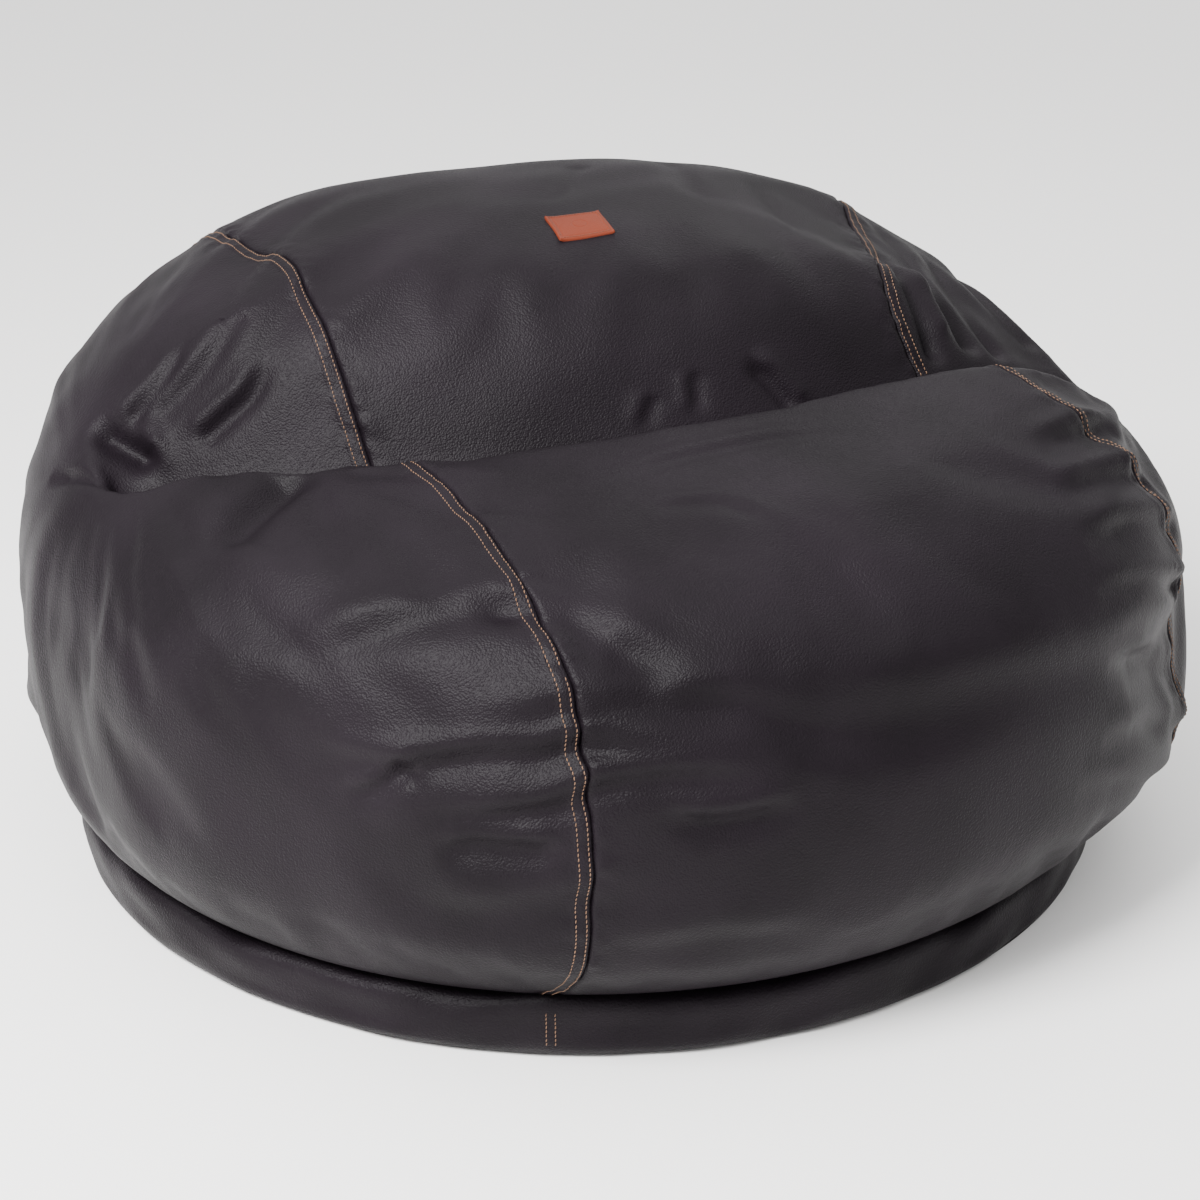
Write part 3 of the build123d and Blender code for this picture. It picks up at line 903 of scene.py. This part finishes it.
def roll_path(angle, offset, z_low=0.008, z_high=0.053):
    """The stitch row's run down the base roll, offset degrees beside the seam."""
    a = math.radians(angle + offset)
    face = [p for p in ROLL_PROFILE if z_low < p[1] < z_high and p[0] > .5299]
    out = (math.cos(a), math.sin(a), 0)
    return [((r * out[0], r * out[1], z), out) for r, z in zip(*roll_ring(a, face))]


for key in ("left", "right"):
    paths = [p for row in ROWS for p in row_paths(key, row)]
    print(key, "stitch paths", [len(p) for p in paths])
    for end in ("front", "back"):
        turn = {"left_front": -1, "left_back": 1, "right_front": 1, "right_back": -1}[key + "_" + end]
        for row in ROWS:
            paths.append(roll_path(corner[key + "_" + end], turn * math.degrees(row / ROLL_R)))
    v, q = stitch_mesh(paths, 0.0044, 0.0035, 0.00055, 51)
    obj = new_object("stitches_%s_seam" % key, v, q, THREAD)
    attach(obj, "bag")
    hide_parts("topstitch_%s_seam" % key)

for name, z in (("lower", .017), ("upper", .039)):
    angles = np.radians(np.arange(ZIP_LOW, ZIP_HIGH, 0.25))
    path = [((ROLL_R * math.cos(a), ROLL_R * math.sin(a), z), (math.cos(a), math.sin(a), 0)) for a in angles]
    v, q = stitch_mesh([path], 0.0038, 0.0031, 0.0005, 61)
    obj = new_object("stitches_zip_" + name, v, q, THREAD)
    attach(obj, "bag")
    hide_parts("topstitch_zip_" + name)


# ---------------------------------------------------------------- zip coils
def coil_piece(name):
    """A wound nylon coil: a flattened helix along the arc of the zip."""
    low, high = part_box("zip_coil_" + name)
    z_mid = (low[2] + high[2]) / 2
    half_z = (high[2] - low[2]) / 2
    r_low, r_high = .531, .5331
    r_mid, half_r = (r_low + r_high) / 2, (r_high - r_low) / 2
    start, end = math.radians(ZIP_LOW + .5), math.radians(ZIP_HIGH - .5)
    pitch = 0.0013
    turns = int((end - start) * ROLL_R / pitch)
    per = 10
    wire = 0.00034
    t = np.linspace(0, 1, turns * per + 1)
    spin = 2 * math.pi * turns * t
    angle = start + (end - start) * t
    rad = r_mid + (half_r - wire) * np.cos(spin)
    z = z_mid + (half_z - wire) * np.sin(spin)
    line = np.stack([rad * np.cos(angle), rad * np.sin(angle), z], 1)
    tang = np.gradient(line, axis=0)
    tang /= np.linalg.norm(tang, axis=1, keepdims=True)
    out = np.stack([np.cos(angle), np.sin(angle), 0 * angle], 1) * np.cos(spin)[:, None]
    out[:, 2] += np.sin(spin)
    out -= tang * (out * tang).sum(1, keepdims=True)
    out /= np.linalg.norm(out, axis=1, keepdims=True)
    third = np.cross(tang, out)
    sides = 4
    turn = [2 * math.pi * k / sides for k in range(sides)]
    around = [(line + wire * (math.cos(a) * out + math.sin(a) * third))[:, None] for a in turn]
    verts = np.concatenate(around, 1).reshape(-1, 3)
    quads = [
        (i * sides + k, i * sides + (k + 1) % sides, (i + 1) * sides + (k + 1) % sides, (i + 1) * sides + k)
        for i in range(len(line) - 1) for k in range(sides)
    ]
    obj = new_object("coil_" + name, verts, quads, COIL)
    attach(obj, "bag")
    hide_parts("zip_coil_" + name)


coil_piece("lower")
coil_piece("upper")
for name in ("zip_tape_lower", "zip_tape_upper"):
    nodes[name].data.materials.clear()
    nodes[name].data.materials.append(TAPE)
for name in ("zip_slider", "zip_pull", "zip_stops_closed_end", "zip_stops_open_end"):
    nodes[name].data.materials.clear()
    nodes[name].data.materials.append(METAL)

# ---------------------------------------------------------------- base panel
stops = np.linspace(0, 2 * math.pi, 181)[:-1]
verts, quads = [(0, 0, .0012)], []
radii = np.r_[np.linspace(.04, .48, 12), .495, .503, .508, .511, .514]
for r in radii:
    for a in stops:
        pucker = 0.0008 * math.sin(a * 96) * max(0, 1 - (.512 - r) / .03) if r < .512 else 0
        verts.append((r * math.cos(a), r * math.sin(a), .0012 + pucker if r < .505 else .0006))
count = len(stops)
quads += [(0, 1 + (i + 1) % count, 1 + i) for i in range(count)]
for j in range(len(radii) - 1):
    for i in range(count):
        a, b = 1 + j * count + i, 1 + j * count + (i + 1) % count
        quads.append((a, b, b + count, a + count))
obj = new_object("base_cloth", verts, quads, BASE_CLOTH)
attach(obj, "bag")
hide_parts("cover_base_panel")


# ---------------------------------------------------------------- liner and fill
def inner(name, node, depth, mat, step=0.022):
    """A closed bag of the same form, this depth inside the skin and clear of the seat fold."""
    def shape(p):
        lowest = 0.014 + depth * 0.2 - p[2]
        return np.maximum(form(p) + depth + 0.5 * trench(p, 0.075), lowest)
    pts, fcs = surface_net(shape, (-.62, -.62, .0), (.62, .62, .68), step)
    e, d = neighbours(fcs, len(pts))
    pts = relax(pts, e, d, 2)
    pts += quad_normals(pts, fcs) * (0.004 * smooth_noise(pts, .12, 77))[:, None]
    obj = new_object(name, pts, fcs, mat)
    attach(obj, "bag")
    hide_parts(node)


inner("liner_bag", "inner_liner", 0.034, LINER)
inner("fill_foam", "foam_fill", 0.040, FOAM)

# ---------------------------------------------------------------- label
bag_tree = BVHTree.FromBMesh(bm)


def on_skin(x, y):
    """The skin's point and normal straight below a place in plan."""
    hit, normal, _, _ = bag_tree.ray_cast(Vector((x, y, 1.0)), Vector((0, 0, -1)))
    return np.array(hit), np.array(normal)


spot, _ = on_skin(*LABEL_AT)
around = [(LABEL_AT[0] + dx, LABEL_AT[1] + dy) for dx in (-.02, 0, .02) for dy in (-.015, 0, .015)]
up = np.mean([on_skin(*at)[1] for at in around], 0)
up /= np.linalg.norm(up)
east = np.array([math.cos(LABEL_TURN), math.sin(LABEL_TURN), 0])
east -= up * (east @ up)
east /= np.linalg.norm(east)
north = np.cross(up, east)


LABEL_CURL = 0.0022  # how far its corners stand up
LABEL_GAP = 0.0003  # between the label and the skin
LABEL_SIDE = 0.0012  # how deep its cut edge is
FRAME_LINE = 0.0052  # the pressed line's distance from the edge
RING_R = 0.0075


def label_point(a, b, height):
    """A point of the label, a and b in metres from its middle, lying on the skin."""
    p = spot + east * a + north * b
    hit, _, _, _ = bag_tree.ray_cast(Vector(p + up * .05), Vector(-up))
    base = np.array(hit) if hit else p
    corner = min(1, (abs(a) / (LABEL_W / 2)) ** 6) * min(1, (abs(b) / (LABEL_D / 2)) ** 4)
    return base + up * (height + LABEL_CURL * corner)


def label_height(a, b):
    """The top face, with a rounded edge, a pressed frame line and a plain pressed ring."""
    edge = min(LABEL_W / 2 - abs(a), LABEL_D / 2 - abs(b))
    h = LABEL_T * min(1, (edge / .0008)) ** 0.4 if edge > 0 else 0
    frame_line = abs(edge - FRAME_LINE) < .0005
    ring = abs(math.hypot(a, b * 1.1) - RING_R) < .0007
    return h - (0.0004 if frame_line or ring else 0)


na, nb = 90, 68
verts, quads = [], []
for j in range(nb + 1):
    for i in range(na + 1):
        a, b = (i / na - .5) * LABEL_W, (j / nb - .5) * LABEL_D
        verts.append(label_point(a, b, label_height(a, b) + LABEL_GAP))
for j in range(nb):
    for i in range(na):
        q = j * (na + 1) + i
        quads.append((q, q + 1, q + na + 2, q + na + 1))
top = len(verts)
rim = [i for i in range(na + 1)] + [(j + 1) * (na + 1) - 1 for j in range(1, nb + 1)]
rim += [nb * (na + 1) + i for i in range(na - 1, -1, -1)] + [j * (na + 1) for j in range(nb - 1, 0, -1)]
for i in rim:
    verts.append(verts[i] - up * LABEL_SIDE)
for k in range(len(rim)):
    a, b = rim[k], rim[(k + 1) % len(rim)]
    quads.append((b, a, top + k, top + (k + 1) % len(rim)))
obj = new_object("label", verts, quads, TAN)
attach(obj, "bag")
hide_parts("label_patch")
inset = .003
ca, cb = LABEL_W / 2 - inset, LABEL_D / 2 - inset
loop = [(-ca, -cb), (ca, -cb), (ca, cb), (-ca, cb), (-ca, -cb)]
path = []
for (a0, b0), (a1, b1) in zip(loop, loop[1:]):
    for t in np.linspace(0, 1, 24, endpoint=False):
        a, b = a0 + (a1 - a0) * t, b0 + (b1 - b0) * t
        path.append((tuple(label_point(a, b, LABEL_T + LABEL_GAP)), tuple(up)))
v, q = stitch_mesh([path], 0.0030, 0.0024, 0.0004, 71)
obj = new_object("label_thread", v, q, LABEL_THREAD)
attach(obj, "bag")
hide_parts("label_stitches")
bm.free()

# ---------------------------------------------------------------- stage, light and camera
floor_mat, n, links, shader = material("floor", (.93, .92, .91), 0.9)
reach = 30
floor_corners = [(-reach, -reach, 0), (reach, -reach, 0), (reach, reach, 0), (-reach, reach, 0)]
floor = new_object("floor", floor_corners, [(0, 1, 2, 3)], floor_mat)
world = bpy.data.worlds.new("studio")
bpy.context.scene.world = world
world.use_nodes = True
sky_nodes, sky_links = world.node_tree.nodes, world.node_tree.links
sky_place = sky_nodes.new("ShaderNodeTexCoord")
sky_split = sky_nodes.new("ShaderNodeSeparateXYZ")
sky_ramp = sky_nodes.new("ShaderNodeValToRGB")
sky_ramp.color_ramp.elements[0].color = (.80, .80, .80, 1)
sky_ramp.color_ramp.elements[1].color = (1, 1, 1, 1)
sky_ramp.color_ramp.elements[1].position = 0.95
for height, grey in ((0.05, .80), (0.09, .05)):
    sky_ramp.color_ramp.elements.new(height).color = (grey, grey, grey, 1)
sky_links.new(sky_place.outputs["Generated"], sky_split.inputs["Vector"])
sky_links.new(sky_split.outputs["Z"], sky_ramp.inputs["Fac"])
sky_links.new(sky_ramp.outputs["Color"], sky_nodes["Background"].inputs["Color"])
sky_nodes["Background"].inputs["Strength"].default_value = 2.5


def softbox(name, spot, target, size, power):
    """A rectangular area light turned toward its target."""
    light = bpy.data.lights.new(name, "AREA")
    light.shape = "RECTANGLE"
    light.size, light.size_y = size
    light.energy = power
    obj = bpy.data.objects.new(name, light)
    obj.location = spot
    obj.rotation_euler = (Vector(target) - Vector(spot)).to_track_quat("-Z", "Y").to_euler()
    bpy.context.scene.collection.objects.link(obj)


softbox("key", (-1.9, -1.5, 2.6), (0, 0, .3), (1.5, 1.2), 340)
softbox("rim", (1.6, 1.9, 2.6), (.1, 0, .4), (1.6, 1.2), 15)

ELEVATION, AZIMUTH, DISTANCE = math.radians(23), math.radians(-14), 2.346
AIM_FORWARD, AIM_UP = -0.085, 0.246
ca, sa, ce, se = math.cos(AZIMUTH), math.sin(AZIMUTH), math.cos(ELEVATION), math.sin(ELEVATION)
forward = Vector((-sa, ca, 0))
view_way = forward * ce - Vector((0, 0, 1)) * se
target = forward * AIM_FORWARD + Vector((0, 0, AIM_UP))
camera_data = bpy.data.cameras.new("camera")
camera_data.lens, camera_data.sensor_width = 70, 36
camera = bpy.data.objects.new("camera", camera_data)
camera.location = target - view_way * DISTANCE
camera.rotation_euler = view_way.to_track_quat("-Z", "Y").to_euler()
bpy.context.scene.collection.objects.link(camera)
bpy.context.scene.camera = camera
